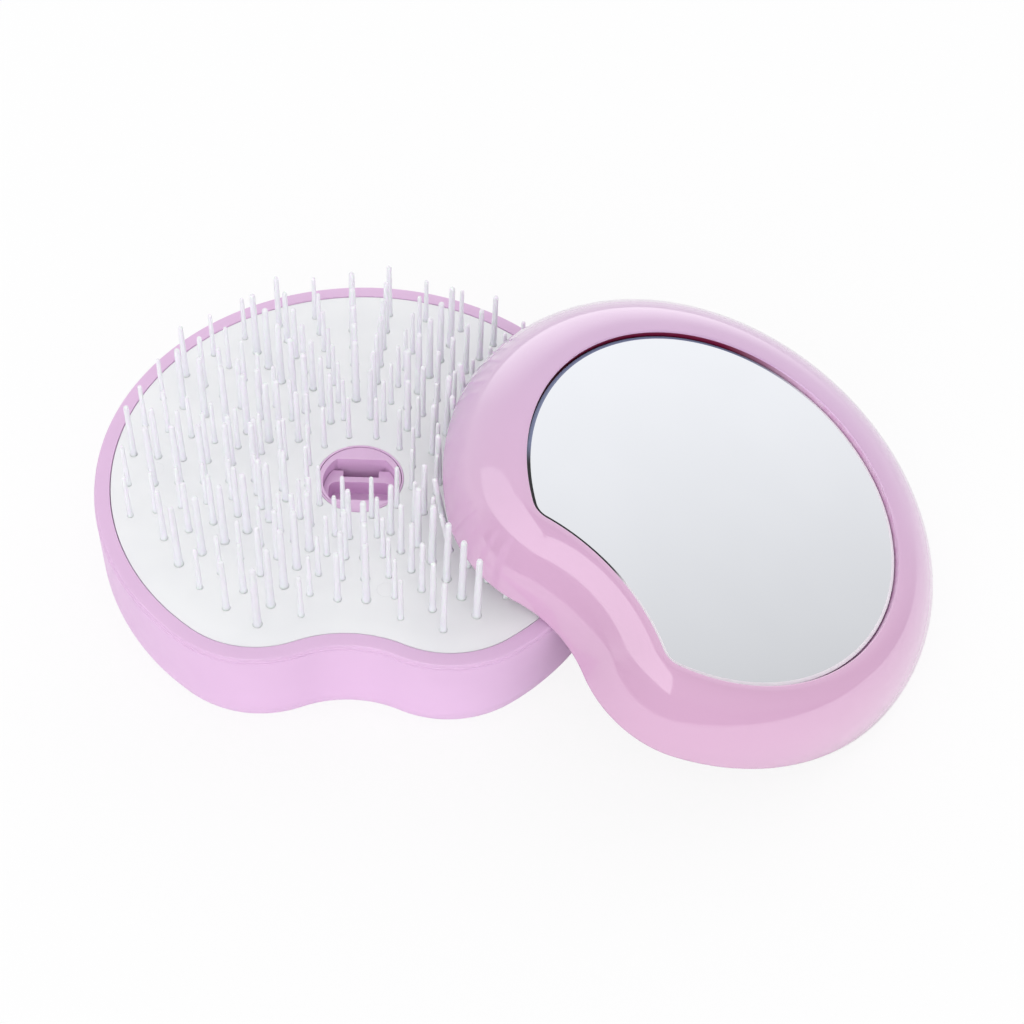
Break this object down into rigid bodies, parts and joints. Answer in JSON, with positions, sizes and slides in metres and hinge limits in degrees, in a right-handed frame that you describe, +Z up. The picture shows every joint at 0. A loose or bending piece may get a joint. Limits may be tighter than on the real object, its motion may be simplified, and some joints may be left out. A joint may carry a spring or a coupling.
{
  "type": "compact hairbrush with mirror cover",
  "caption": "Pebble-shaped detangling brush half with a floating bristle bed and a snap catch, and its lift-off domed cover with an inset mirror leaning on it",
  "frame": {"origin": "on the resting plane, on the axis of the catch in the middle of the brush half", "axes": "+Z up out of the bristles, -Y through the thumb notch, +X towards the cover that leans on the brush half"},
  "size_m": [0.1352, 0.0894, 0.0378],
  "materials": {
    "shell": "satin moulded lilac plastic",
    "cover": "high gloss pink plastic",
    "plate": "fine matt white plastic",
    "bristle": "soft white nylon",
    "steel": "plain bright steel",
    "pad": "dark double-sided foam",
    "mirror": "silvered glass"
  },
  "bodies": {
    "brush": {"base_shell": "shell", "rim_frame": "shell", "frame_screws": "steel", "catch_column": "shell", "column_screws": "steel", "catch_bar": "shell", "lift_spring": "steel"},
    "bed": {"bed_carrier": "shell", "hub_ring": "shell", "bristle_plate": "plate", "bristles_long": "bristle", "bristles_mid": "bristle", "bristles_short": "bristle"},
    "cover": {"cover_shell": "cover", "push_collar": "cover", "hook_post": "cover", "cover_screws": "steel", "mirror_pad": "pad", "mirror_glass": "mirror"}
  },
  "joints": [
    {"name": "bed_sink", "type": "slide", "parent": "brush", "child": "bed", "axis": [0, 0, 1], "range_m": [-0.0032, 0], "stiffness_N_per_m": 250, "springref_m": 0.004, "deforming": ["lift_spring"]},
    {"name": "cover_lift", "type": "slide", "parent": "brush", "child": "cover", "axis": [0, 0, 1], "range_m": [0, 0.06]}
  ]
}
